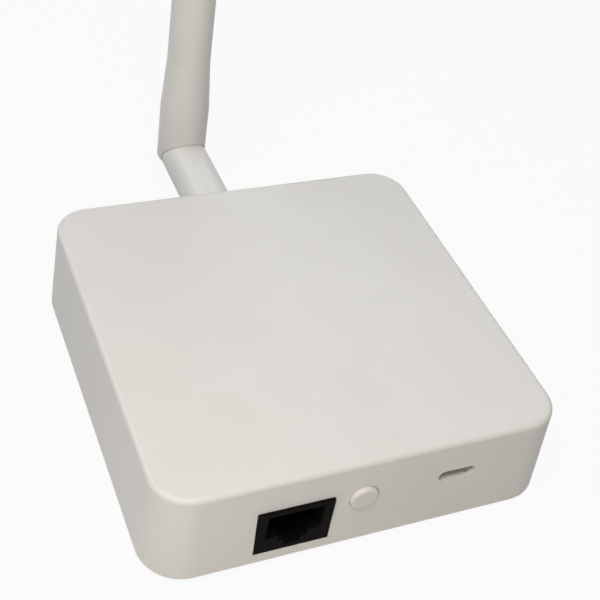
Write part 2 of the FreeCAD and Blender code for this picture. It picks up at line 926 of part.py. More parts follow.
def connector_nut():
    start = on_antenna_axis(connector_seat() + washer_thickness)
    nut = hexagon(nut_across, nut_thickness, start)
    return nut.cut(rod(connector_thread_radius + thread_gap, nut_thickness, start, Y))


def coupling_start():
    return connector_seat() + washer_thickness + nut_thickness + coupling_gap


def coupling_end():
    return coupling_start() + coupling_length


def antenna_nut():
    """Coupling nut of the antenna, screwed on the connector, with the collar that the barrel turns on."""
    start = coupling_start()
    end = coupling_end()
    inner = connector_thread_radius + thread_gap
    collar = end - coupling_collar_back
    core = plug_core_radius + thread_gap
    return turned([
        (inner, start), (coupling_radius, start), (coupling_radius, collar),
        (coupling_collar_radius, collar), (coupling_collar_radius, collar + coupling_collar_width),
        (coupling_radius, collar + coupling_collar_width), (coupling_radius, end), (core, end),
        (core, end - coupling_end_wall), (inner, end - coupling_end_wall)], on_antenna_axis(0), Y)


def antenna_plug_core():
    """White core of the antenna's plug, held in the end wall of the coupling nut."""
    face = insulator_face() + thread_gap
    length = coupling_end() - face
    body = rod(plug_core_radius, length, on_antenna_axis(face), Y)
    return body.cut(rod(plug_pin_radius, length, on_antenna_axis(face), Y))


def antenna_plug_pin():
    """Gilt pin along the plug's core into the connector's centre socket."""
    tip = insulator_face() - plug_pin_engagement
    return rod(plug_pin_radius, coupling_end() - tip, on_antenna_axis(tip), Y)


def elbow_y():
    return half_depth(antenna_z) + elbow_behind_wall


def hinge_centre():
    return on_antenna_axis(elbow_y())


def rod_axis():
    """Foot of the upright line through the hinge, which the rod stands on."""
    return Vector(antenna_x, elbow_y(), 0)


def hinge_slot():
    """Space for the rod's tongue between the barrel's two cheeks, open upwards and to the back."""
    width = tongue_thickness + 2 * hinge_side_gap
    depth = tongue_radius + tongue_swing_gap
    side = antenna_x - width / 2
    far = 2 * barrel_radius
    behind = Part.makeBox(width, far, 2 * far, Vector(side, elbow_y(), antenna_z - far))
    above = Part.makeBox(width, depth + far, far, Vector(side, elbow_y() - depth, antenna_z))
    round_bottom = rod(depth, width, Vector(side, elbow_y(), antenna_z), X)
    return fused([behind, above, round_bottom])


def barrel_blank():
    """Round bar along the connector's axis that ends in a half ball round the hinge."""
    first = on_antenna_axis(coupling_start() - barrel_gap)
    last = hinge_centre()
    out = X * barrel_radius
    tip = last + Y * barrel_radius
    bulge = last + (X + Y) * (barrel_radius / math.sqrt(2))
    outline = Part.Wire([
        Part.makeLine(first, first + out),
        Part.makeLine(first + out, last + out),
        Part.Arc(last + out, bulge, tip).toShape(),
        Part.makeLine(tip, first)])
    blank = Part.Face(outline).revolve(first, Y, 360)
    return blank.makeChamfer(barrel_edge_chamfer, ring_edges(blank, barrel_radius, first.y, Y))


def antenna_barrel():
    """White swivel barrel: round tube over the coupling nut, ending in two ball-shaped cheeks."""
    start = coupling_start() - barrel_gap
    collar = coupling_end() - coupling_collar_back
    cuts = [
        rod(coupling_radius + turning_gap, coupling_end() + turning_gap - start,
            on_antenna_axis(start), Y),
        rod(coupling_collar_radius + turning_gap, coupling_collar_width + 2 * collar_room,
            on_antenna_axis(collar - collar_room), Y),
        rod(cable_bore_radius, elbow_y() - coupling_end(), on_antenna_axis(coupling_end()), Y),
        hinge_slot(),
        rod(hinge_pin_radius, 2 * barrel_radius, hinge_centre() - X * barrel_radius, X)]
    return barrel_blank().cut(cuts[0].multiFuse(cuts[1:]))


def hinge_pin():
    """White pin through the sleeve's skirt, the barrel's cheeks and the tongue, flush at both ends."""
    reach = sleeve_radius - hinge_pin_inset
    return rod(hinge_pin_radius, 2 * reach, hinge_centre() - X * reach, X)


def sleeve_top():
    """Height where the sleeve ends flush with the rod."""
    return antenna_z + sleeve_straight_top + sleeve_taper_length


def rod_foot():
    """Height of the rod's lower end in the socket of the sleeve."""
    return sleeve_top() - rod_socket_depth


def sleeve_blank():
    """The sleeve outside: a skirt over the ball, a straight part and a long taper to the rod."""
    low = antenna_z - sleeve_rim_drop
    straight_top = antenna_z + sleeve_straight_top
    blank = turned([
        (0, low), (sleeve_radius - sleeve_rim_chamfer, low), (sleeve_radius, low + sleeve_rim_chamfer),
        (sleeve_radius, straight_top), (rod_radius, sleeve_top() - sleeve_lip_chamfer),
        (rod_radius - sleeve_lip_chamfer, sleeve_top()), (0, sleeve_top())], rod_axis(), Z)
    ball_room = Part.makeSphere(barrel_radius + ball_gap, hinge_centre())
    saddle = rod(barrel_radius + saddle_gap, 2 * barrel_radius, hinge_centre(), -Y)
    return blank.cut(fused([ball_room, saddle]))


def hinge_tongue():
    """Flat tongue with a round end, which turns on the pin between the barrel's cheeks."""
    neck = rod(tongue_radius, barrel_radius + ball_gap + lump_overlap, hinge_centre(), Z)
    bar = fused([Part.makeSphere(tongue_radius, hinge_centre()), neck])
    across = 4 * tongue_radius
    plate = block(tongue_thickness, across, across, antenna_x, elbow_y(), antenna_z - across / 2)
    return bar.common(plate)


def antenna_knuckle():
    """Lower sleeve of the rod: skirt over the barrel's ball, tongue below, socket for the rod above."""
    body = fused([sleeve_blank(), hinge_tongue()])
    spigot = rod_radius - rod_spigot_step + rod_joint_gap
    feed_foot = antenna_z + feed_foot_height
    cuts = [
        rod(spigot, rod_socket_depth + cut_margin, rod_axis() + Z * rod_foot(), Z),
        rod(feed_radius + thread_gap, rod_foot() - feed_foot + cut_margin, rod_axis() + Z * feed_foot, Z),
        rod(hinge_pin_radius + hinge_fit_gap, 4 * sleeve_radius, hinge_centre() - X * 2 * sleeve_radius, X)]
    return body.cut(cuts[0].multiFuse(cuts[1:]))


def rod_top():
    return antenna_z + rod_length_above_hinge


def antenna_rod():
    """Closed white rod, a little thinner at its round tip, hollow, with a spigot at its foot."""
    low = rod_foot()
    top = rod_top()
    spigot = rod_radius - rod_spigot_step
    body = turned([
        (0, low), (spigot, low), (spigot, sleeve_top()), (rod_radius, sleeve_top()),
        (rod_tip_radius, top), (0, top)], rod_axis(), Z)
    body = body.makeFillet(rod_tip_rounding, ring_edges(body, rod_tip_radius, top, Z))
    bore_top = top - rod_end_length
    bore = turned([
        (0, low), (rod_radius - rod_wall, low), (rod_radius - rod_wall, sleeve_top()),
        (rod_tip_radius - rod_wall, bore_top), (0, bore_top)], rod_axis(), Z)
    return body.cut(bore)


def antenna_feed():
    """Coaxial feed that stands in the sleeve and carries the radiator."""
    return rod(feed_radius, feed_length, rod_axis() + Z * (antenna_z + feed_foot_height), Z)


def feed_top():
    return antenna_z + feed_foot_height + feed_length


def antenna_radiator():
    """Brass sleeve over the end of the feed, closed at its top, with the whip above it."""
    top = rod_axis() + Z * feed_top()
    sleeve = tube(radiator_radius, feed_radius + thread_gap, radiator_length, top - Z * radiator_length, Z)
    cap = rod(radiator_radius, radiator_cap, top, Z)
    whip_end = rod_top() - rod_end_length - whip_end_gap
    whip = rod(whip_radius, whip_end - feed_top(), top, Z)
    return fused([sleeve, cap, whip])


def antenna_spacer():
    """Foam ring half way up the whip, which keeps it in the middle of the rod."""
    z = (feed_top() + rod_top()) / 2
    bore_slope = (rod_radius - rod_tip_radius) / (rod_top() - rod_end_length - sleeve_top())
    bore = rod_radius - rod_wall - bore_slope * (z + spacer_thickness - sleeve_top())
    return tube(bore - spacer_gap, whip_radius + thread_gap, spacer_thickness, rod_axis() + Z * z, Z)


nodes = {
    "top_cover": top_cover,
    "base_plate": base_plate,
    "rubber_feet": rubber_feet,
    "case_screws": case_screws,
    "circuit_board": circuit_board,
    "board_screws": board_screws,
    "ethernet_jack": ethernet_jack,
    "ethernet_contacts": ethernet_contacts,
    "usb_c_shell": usb_c_shell,
    "usb_c_tongue": usb_c_tongue,
    "reset_button": reset_button,
    "reset_switch": reset_switch,
    "reset_plunger": reset_plunger,
    "radio_module": lambda: board_part(radio_module_place),
    "radio_shield": lambda: shield_on(radio_module_place, radio_shield_size),
    "radio_socket": radio_socket,
    "antenna_lead": antenna_lead,
    "network_module": lambda: board_part(network_module_place),
    "network_shield": lambda: shield_on(network_module_place, network_shield_size),
    "network_transformer": network_transformer,
    "network_chip": lambda: board_part(network_chip_place),
    "serial_chip": lambda: board_part(serial_chip_place),
    "voltage_regulator": voltage_regulator,
    "power_inductor": power_inductor,
    "crystals": lambda: Part.makeCompound([board_part(p) for p in crystal_places]),
    "tank_capacitors": lambda: Part.makeCompound([board_part(p) for p in tank_capacitor_places]),
    "small_board_parts": small_parts,
    "status_lights": status_lights,
    "antenna_connector": antenna_connector,
    "connector_insulator": connector_insulator,
    "connector_contact": connector_contact,
    "connector_washer": connector_washer,
    "connector_nut": connector_nut,
    "antenna_nut": antenna_nut,
    "antenna_plug_core": antenna_plug_core,
    "antenna_plug_pin": antenna_plug_pin,
    "antenna_barrel": antenna_barrel,
    "hinge_pin": hinge_pin,
    "antenna_knuckle": antenna_knuckle,
    "antenna_rod": antenna_rod,
    "antenna_feed": antenna_feed,
    "antenna_radiator": antenna_radiator,
    "antenna_spacer": antenna_spacer,
}

os.makedirs("parts", exist_ok=True)
for name, make in nodes.items():
    shape = make()
    shape.exportStep("parts/" + name + ".step")
    print(name, len(shape.Solids), "valid" if shape.isValid() else "NOT VALID", round(shape.Volume, 2))
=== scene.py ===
import bpy
import math
from mathutils import Matrix, Vector


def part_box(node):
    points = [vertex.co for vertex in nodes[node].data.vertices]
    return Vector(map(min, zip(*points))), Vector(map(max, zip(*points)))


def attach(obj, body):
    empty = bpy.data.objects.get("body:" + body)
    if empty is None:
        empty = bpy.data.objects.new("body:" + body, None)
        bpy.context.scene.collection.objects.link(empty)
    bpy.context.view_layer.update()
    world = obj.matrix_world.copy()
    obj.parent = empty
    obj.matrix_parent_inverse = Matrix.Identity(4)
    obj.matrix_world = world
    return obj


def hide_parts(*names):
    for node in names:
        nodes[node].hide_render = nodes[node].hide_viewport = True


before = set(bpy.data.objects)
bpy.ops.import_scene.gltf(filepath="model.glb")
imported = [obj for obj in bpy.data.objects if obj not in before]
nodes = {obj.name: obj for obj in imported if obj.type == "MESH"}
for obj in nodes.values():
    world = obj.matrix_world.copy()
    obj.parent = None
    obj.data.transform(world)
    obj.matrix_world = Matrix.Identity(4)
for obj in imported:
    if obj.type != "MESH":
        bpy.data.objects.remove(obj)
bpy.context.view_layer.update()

# The view of the photograph: a small camera held above the front left corner and tipped a little,
# which is why the case leans in the frame. It was fitted to the case's edges and to the sockets.
view_turn = math.radians(-28.8)
view_height = math.radians(41.93)
view_roll = math.radians(10.8)
view_distance = 0.2914
view_target = Vector((0.01430, 0.02505, 0.0008))
focal_pixels = 1163.0
picture_pixels = 600
sensor_width_mm = 36.0
nearest_seen = 0.01
bpy.ops.object.camera_add()
camera = bpy.context.object
camera.name = "camera"
camera.data.sensor_width = sensor_width_mm
camera.data.lens = sensor_width_mm * focal_pixels / picture_pixels
camera.data.clip_start = nearest_seen
turn = (Matrix.Rotation(view_turn, 4, "Z")
        @ Matrix.Rotation(math.pi / 2 - view_height, 4, "X")
        @ Matrix.Rotation(view_roll, 4, "Z"))
camera.matrix_world = (Matrix.Translation(view_target) @ turn
                       @ Matrix.Translation((0, 0, view_distance)))
bpy.context.scene.camera = camera
bpy.context.scene.view_settings.view_transform = "Standard"

# The table: a pale plain sheet that keeps the case's shadow. Seen straight from the camera, most
# of its white is plain white, as the cut-out background of the photograph is.
floor_size = 6.0
floor_drop = 0.0002
floor_white = (0.55, 0.55, 0.55, 1)
plain_white_share = 0.93
bpy.ops.object.select_all(action="DESELECT")
bpy.ops.mesh.primitive_plane_add(size=floor_size, location=(0, 0, -floor_drop))
floor = bpy.context.object
floor.name = "table_top"
bpy.ops.object.transform_apply(location=True, rotation=True, scale=True)
paper = bpy.data.materials.new("pale_table")
paper.use_nodes = True
tree = paper.node_tree
tree.nodes.clear()
paper_out = tree.nodes.new("ShaderNodeOutputMaterial")
paper_diffuse = tree.nodes.new("ShaderNodeBsdfDiffuse")
paper_diffuse.inputs["Color"].default_value = floor_white
paper_glow = tree.nodes.new("ShaderNodeEmission")
paper_rays = tree.nodes.new("ShaderNodeLightPath")
paper_seen = tree.nodes.new("ShaderNodeMath")
paper_seen.operation = "MAXIMUM"
paper_share = tree.nodes.new("ShaderNodeMath")
paper_share.operation = "MULTIPLY"
paper_share.inputs[1].default_value = plain_white_share
paper_mix = tree.nodes.new("ShaderNodeMixShader")
tree.links.new(paper_rays.outputs["Is Camera Ray"], paper_seen.inputs[0])
tree.links.new(paper_rays.outputs["Is Glossy Ray"], paper_seen.inputs[1])
tree.links.new(paper_seen.outputs[0], paper_share.inputs[0])
tree.links.new(paper_share.outputs[0], paper_mix.inputs[0])
tree.links.new(paper_diffuse.outputs[0], paper_mix.inputs[1])
tree.links.new(paper_glow.outputs[0], paper_mix.inputs[2])
tree.links.new(paper_mix.outputs[0], paper_out.inputs["Surface"])
floor.data.materials.append(paper)

# The room: five soft lamps and a faint even grey. It is plain white where it is seen in the picture,
# in a gloss or through something clear.
room_tint = (1.0, 1.0, 1.0, 1)
room_strength = 0.05
seen_strength = 1.0
lit_point = Vector((0, 0, 0.02))
world = bpy.data.worlds.new("room")
bpy.context.scene.world = world
world.use_nodes = True
tree = world.node_tree
tree.nodes.clear()
room_out = tree.nodes.new("ShaderNodeOutputWorld")
room_light = tree.nodes.new("ShaderNodeBackground")
room_light.inputs["Color"].default_value = room_tint
room_light.inputs["Strength"].default_value = room_strength
room_white = tree.nodes.new("ShaderNodeBackground")
room_white.inputs["Color"].default_value = room_tint
room_white.inputs["Strength"].default_value = seen_strength
room_rays = tree.nodes.new("ShaderNodeLightPath")
room_seen = tree.nodes.new("ShaderNodeMath")
room_seen.operation = "MAXIMUM"
room_through = tree.nodes.new("ShaderNodeMath")
room_through.operation = "MAXIMUM"
room_mix = tree.nodes.new("ShaderNodeMixShader")
tree.links.new(room_rays.outputs["Is Camera Ray"], room_seen.inputs[0])
tree.links.new(room_rays.outputs["Is Glossy Ray"], room_seen.inputs[1])
tree.links.new(room_seen.outputs[0], room_through.inputs[0])
tree.links.new(room_rays.outputs["Is Transmission Ray"], room_through.inputs[1])
tree.links.new(room_through.outputs[0], room_mix.inputs[0])
tree.links.new(room_light.outputs[0], room_mix.inputs[1])
tree.links.new(room_white.outputs[0], room_mix.inputs[2])
tree.links.new(room_mix.outputs[0], room_out.inputs["Surface"])


def soft_lamp(name, place, size, watts, colour):
    """A square area lamp at a place, turned to face the middle of the case."""
    bpy.ops.object.light_add(type="AREA", location=place)
    lamp = bpy.context.object
    lamp.name = name
    lamp.data.size = size
    lamp.data.energy = watts
    lamp.data.color = colour
    to_case = lit_point - Vector(place)
    lamp.rotation_euler = to_case.to_track_quat("-Z", "Y").to_euler()


# The photograph's light is warmer and nearer from the front left, and cooler from behind.
soft_lamp("front_lamp", place=(-0.12, -0.12, 0.40), size=0.2, watts=1.10, colour=(1.0, 0.955, 0.92))
soft_lamp("low_front_lamp", place=(-0.14, -0.16, 0.06), size=0.08, watts=0.070, colour=(1.0, 0.945, 0.88))
soft_lamp("far_front_lamp", place=(0.05, -0.70, 0.30), size=0.4, watts=0.70, colour=(1.0, 0.93, 0.87))
soft_lamp("rear_right_lamp", place=(0.35, 0.45, 0.70), size=0.6, watts=1.80, colour=(0.87, 0.95, 1.0))
soft_lamp("rear_left_lamp", place=(-0.45, 0.55, 0.50), size=0.4, watts=1.42, colour=(0.86, 0.94, 1.0))

# The cover: one moulding of off-white plastic with a plain top and four flared walls. Its mould was
# spark-eroded, which leaves a fine even grain, and its tint and sheen vary a little over the faces.
pattern_detail = 3.0
patch_low = 0.3
patch_high = 0.7
pattern_middle = 0.5


def start_group(name, inputs, output, kind):
    """A node group with named inputs, a pattern that follows the piece, and one named output."""
    group = bpy.data.node_groups.new(name, "ShaderNodeTree")
    for label, socket_type, value in inputs:
        socket = group.interface.new_socket(name=label, in_out="INPUT", socket_type=socket_type)
        socket.default_value = value
    group.interface.new_socket(name=output, in_out="OUTPUT", socket_type=kind)
    entry = group.nodes.new("NodeGroupInput")
    leave = group.nodes.new("NodeGroupOutput")
    place = group.nodes.new("ShaderNodeTexCoord")
    noise = group.nodes.new("ShaderNodeTexNoise")
    noise.inputs["Detail"].default_value = pattern_detail
    group.links.new(place.outputs["Object"], noise.inputs["Vector"])
    return group, entry, leave, noise


uneven_tint, entry, leave, noise = start_group("uneven_tint", [
    ("Tint", "NodeSocketColor", (0.8, 0.8, 0.8, 1)),
    ("Shade", "NodeSocketColor", (0.7, 0.7, 0.7, 1)),
    ("Patch Scale", "NodeSocketFloat", 40.0)], "Colour", "NodeSocketColor")
tint_mix = uneven_tint.nodes.new("ShaderNodeMix")
tint_mix.data_type = "RGBA"
tint_span = uneven_tint.nodes.new("ShaderNodeMapRange")
tint_span.inputs["From Min"].default_value = patch_low
tint_span.inputs["From Max"].default_value = patch_high
uneven_tint.links.new(entry.outputs["Patch Scale"], noise.inputs["Scale"])
uneven_tint.links.new(noise.outputs["Fac"], tint_span.inputs["Value"])
uneven_tint.links.new(tint_span.outputs["Result"], tint_mix.inputs["Factor"])
uneven_tint.links.new(entry.outputs["Tint"], tint_mix.inputs["A"])
uneven_tint.links.new(entry.outputs["Shade"], tint_mix.inputs["B"])
uneven_tint.links.new(tint_mix.outputs["Result"], leave.inputs["Colour"])

handled_sheen, entry, leave, noise = start_group("handled_sheen", [
    ("Roughness", "NodeSocketFloat", 0.5),
    ("Spread", "NodeSocketFloat", 0.06),
    ("Patch Scale", "NodeSocketFloat", 90.0)], "Roughness", "NodeSocketFloat")
sheen_middle = handled_sheen.nodes.new("ShaderNodeMath")
sheen_middle.operation = "SUBTRACT"
sheen_middle.inputs[1].default_value = pattern_middle
sheen_sum = handled_sheen.nodes.new("ShaderNodeMath")
sheen_sum.operation = "MULTIPLY_ADD"
handled_sheen.links.new(entry.outputs["Patch Scale"], noise.inputs["Scale"])
handled_sheen.links.new(noise.outputs["Fac"], sheen_middle.inputs[0])
handled_sheen.links.new(sheen_middle.outputs[0], sheen_sum.inputs[0])
handled_sheen.links.new(entry.outputs["Spread"], sheen_sum.inputs[1])
handled_sheen.links.new(entry.outputs["Roughness"], sheen_sum.inputs[2])
handled_sheen.links.new(sheen_sum.outputs[0], leave.inputs["Roughness"])

eroded_grain, entry, leave, noise = start_group("eroded_grain", [
    ("Grain Scale", "NodeSocketFloat", 5000.0)], "Height", "NodeSocketFloat")
grain_cells = eroded_grain.nodes.new("ShaderNodeTexVoronoi")
grain_cells.feature = "SMOOTH_F1"
grain_place = eroded_grain.nodes.new("ShaderNodeTexCoord")
grain_sum = eroded_grain.nodes.new("ShaderNodeMath")
grain_sum.operation = "ADD"
eroded_grain.links.new(grain_place.outputs["Object"], grain_cells.inputs["Vector"])
eroded_grain.links.new(entry.outputs["Grain Scale"], noise.inputs["Scale"])
eroded_grain.links.new(entry.outputs["Grain Scale"], grain_cells.inputs["Scale"])
eroded_grain.links.new(noise.outputs["Fac"], grain_sum.inputs[0])
eroded_grain.links.new(grain_cells.outputs["Distance"], grain_sum.inputs[1])
eroded_grain.links.new(grain_sum.outputs[0], leave.inputs["Height"])


def placed_group(tree, group, values):
    """The group as a node in a material's tree, with its own values."""
    node = tree.nodes.new("ShaderNodeGroup")
    node.node_tree = group
    for label, value in values.items():
        node.inputs[label].default_value = value
    return node


def blank_finish(name):
    """A material that holds only its Principled shader."""
    material = bpy.data.materials.new(name)
    material.use_nodes = True
    return material


def shader_of(material):
    """The Principled shader of a finish."""
    return material.node_tree.nodes["Principled BSDF"]


def grained_finish(name, tint, shade, roughness, grain_scale, grain_height, patch_scale=60.0):
    """A moulded or cast finish: uneven tint, handled sheen and a fine grain."""
    material = blank_finish(name)
    tree = material.node_tree
    shader = shader_of(material)
    colour = placed_group(tree, uneven_tint, {
        "Tint": (*tint, 1), "Shade": (*shade, 1), "Patch Scale": patch_scale})
    sheen = placed_group(tree, handled_sheen, {"Roughness": roughness})
    grain = placed_group(tree, eroded_grain, {"Grain Scale": grain_scale})
    bump = tree.nodes.new("ShaderNodeBump")
    bump.inputs["Distance"].default_value = grain_height
    tree.links.new(grain.outputs["Height"], bump.inputs["Height"])
    tree.links.new(colour.outputs["Colour"], shader.inputs["Base Color"])
    tree.links.new(sheen.outputs["Roughness"], shader.inputs["Roughness"])
    tree.links.new(bump.outputs["Normal"], shader.inputs["Normal"])
    return material


def give_finish(node_name, material):
    """Puts one finish on a solid of the frame."""
    node = nodes[node_name]
    node.data.materials.clear()
    node.data.materials.append(material)


cover_plastic = grained_finish("cover_plastic", tint=(0.745, 0.728, 0.694), shade=(0.722, 0.704, 0.668),
                               roughness=0.50, grain_scale=5200.0, grain_height=0.000012)
give_finish("top_cover", cover_plastic)

# The base plate: the same plastic from a coarser mould, so it is a little duller and greyer. It is
# pushed up between the walls from below and screwed to four bosses in the cover.
plate_plastic = grained_finish("plate_plastic", tint=(0.70, 0.688, 0.66), shade=(0.66, 0.648, 0.62),
                               roughness=0.58, grain_scale=3600.0, grain_height=0.00002)
give_finish("base_plate", plate_plastic)

# The feet: four soft rubber pads pressed into the plate's seats. Each is a low disc with a rolled
# edge and a shallow dish in its face, as moulded bumpers have.
foot_radius = 0.0045
foot_roll = 0.00045
foot_roll_steps = 5
foot_dish_rim = 0.0008
foot_dish_depth = 0.00018
foot_segments = 64
crease_angle = 35.0
# A face looks a given way from this share of its normal on.
facing = 0.9
squarely_facing = 0.999


def apply_modifier(piece, kind, **settings):
    """Adds a modifier to a piece and applies it."""
    modifier = piece.modifiers.new(kind.lower(), kind)
    for label, value in settings.items():
        setattr(modifier, label, value)
    bpy.ops.object.select_all(action="DESELECT")
    bpy.context.view_layer.objects.active = piece
    piece.select_set(True)
    bpy.ops.object.modifier_apply(modifier=modifier.name)


def select_faces(piece, wanted):
    """Goes into edit mode with only the wanted faces selected."""
    if bpy.context.mode == "EDIT_MESH":
        bpy.ops.object.mode_set(mode="OBJECT")
    bpy.ops.object.select_all(action="DESELECT")
    bpy.context.view_layer.objects.active = piece
    piece.select_set(True)
    bpy.ops.object.mode_set(mode="EDIT")
    bpy.ops.mesh.select_mode(type="FACE")
    bpy.ops.mesh.select_all(action="DESELECT")
    bpy.ops.object.mode_set(mode="OBJECT")
    for face in piece.data.polygons:
        face.select = wanted(face)
    bpy.ops.object.mode_set(mode="EDIT")


def settle(piece, angle=crease_angle):
    """Back to object mode, place written into the mesh, smooth round stretches and crisp edges."""
    if bpy.context.mode == "EDIT_MESH":
        bpy.ops.object.mode_set(mode="OBJECT")
    bpy.ops.object.select_all(action="DESELECT")
    bpy.context.view_layer.objects.active = piece
    piece.select_set(True)
    bpy.ops.object.transform_apply(location=True, rotation=True, scale=True)
    bpy.ops.object.shade_smooth_by_angle(angle=math.radians(angle))


def copied_to(piece, places):
    """Copies of a piece, each with its own mesh, shifted by each place, joined into one with it."""
    copies = []
    for place in places:
        copy = piece.copy()
        copy.data = piece.data.copy()
        copy.data.transform(Matrix.Translation(place))
        bpy.context.scene.collection.objects.link(copy)
        copies.append(copy)
    bpy.ops.object.select_all(action="DESELECT")
    for copy in copies:
        copy.select_set(True)
    piece.select_set(True)
    bpy.context.view_layer.objects.active = piece
    bpy.ops.object.join()


feet_low, feet_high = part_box("rubber_feet")
foot_height = feet_high.z - feet_low.z
first_foot = Vector((feet_low.x + foot_radius, feet_low.y + foot_radius, (feet_low.z + feet_high.z) / 2))
foot_step = feet_high - feet_low - Vector((2 * foot_radius, 2 * foot_radius, 0))
bpy.ops.object.select_all(action="DESELECT")
bpy.ops.mesh.primitive_cylinder_add(vertices=foot_segments, radius=foot_radius, depth=foot_height,
                                    location=first_foot)
feet = bpy.context.object
feet.name = "rubber_bumpers"
select_faces(feet, lambda face: face.normal.z < -facing)
bpy.ops.mesh.bevel(offset=foot_roll, segments=foot_roll_steps)
select_faces(feet, lambda face: face.normal.z < -squarely_facing and len(face.vertices) == foot_segments)
bpy.ops.mesh.inset(thickness=foot_dish_rim)
bpy.ops.mesh.inset(thickness=foot_dish_depth)
bpy.ops.transform.translate(value=(0, 0, foot_dish_depth))
settle(feet)
copied_to(feet, [(foot_step.x, 0, 0), (0, foot_step.y, 0), (foot_step.x, foot_step.y, 0)])
foot_rubber = grained_finish("foot_rubber", tint=(0.045, 0.045, 0.047), shade=(0.065, 0.065, 0.067),
                             roughness=0.62, grain_scale=2600.0, grain_height=0.00003, patch_scale=500.0)
feet.data.materials.append(foot_rubber)
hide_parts("rubber_feet")
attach(feet, "case")

# The screws: small zinc-plated pan-head screws, cold-headed and rolled. Four hold the base plate
# from below and four hold the board up against its bosses.
head_segments = 48
head_roll_share = 0.42
head_roll_steps = 5
cross_length_share = 0.95
cross_width_share = 0.24
cross_depth_share = 0.55
cross_edge = 0.0001
cross_edge_steps = 2
shank_segments = 32
shank_point_share = 0.5
shank_point_steps = 2
screw_pitch = 0.0008
screw_thread_share = 0.12
plain_turns_at_head = 0.4
plain_turns_at_point = 0.6
root_turns = 0.1
screw_crease_angle = 30.0
streak_detail = 4.0
streak_smoother = 0.08
streak_rougher = 0.10
streak_height = 0.000004


def plated_finish(name, tint, shade, roughness, streak_scale, stretch):
    """A metal finish with fine streaks, stretched along one direction."""
    material = blank_finish(name)
    tree = material.node_tree
    shader = shader_of(material)
    shader.inputs["Metallic"].default_value = 1.0
    place = tree.nodes.new("ShaderNodeTexCoord")
    mapping = tree.nodes.new("ShaderNodeMapping")
    mapping.inputs["Scale"].default_value = stretch
    streaks = tree.nodes.new("ShaderNodeTexNoise")
    streaks.inputs["Scale"].default_value = streak_scale
    streaks.inputs["Detail"].default_value = streak_detail
    mix = tree.nodes.new("ShaderNodeMix")
    mix.data_type = "RGBA"
    mix.inputs["A"].default_value = (*tint, 1)
    mix.inputs["B"].default_value = (*shade, 1)
    span = tree.nodes.new("ShaderNodeMapRange")
    span.inputs["To Min"].default_value = roughness - streak_smoother
    span.inputs["To Max"].default_value = roughness + streak_rougher
    bump = tree.nodes.new("ShaderNodeBump")
    bump.inputs["Distance"].default_value = streak_height
    tree.links.new(place.outputs["Object"], mapping.inputs["Vector"])
    tree.links.new(mapping.outputs["Vector"], streaks.inputs["Vector"])
    tree.links.new(streaks.outputs["Fac"], mix.inputs["Factor"])
    tree.links.new(streaks.outputs["Fac"], span.inputs["Value"])
    tree.links.new(streaks.outputs["Fac"], bump.inputs["Height"])
    tree.links.new(mix.outputs["Result"], shader.inputs["Base Color"])
    tree.links.new(span.outputs["Result"], shader.inputs["Roughness"])
    tree.links.new(bump.outputs["Normal"], shader.inputs["Normal"])
    return material


screw_zinc = plated_finish("screw_zinc", tint=(0.60, 0.62, 0.64), shade=(0.48, 0.49, 0.50), roughness=0.34,
                           streak_scale=2500.0, stretch=(1, 1, 0.3))


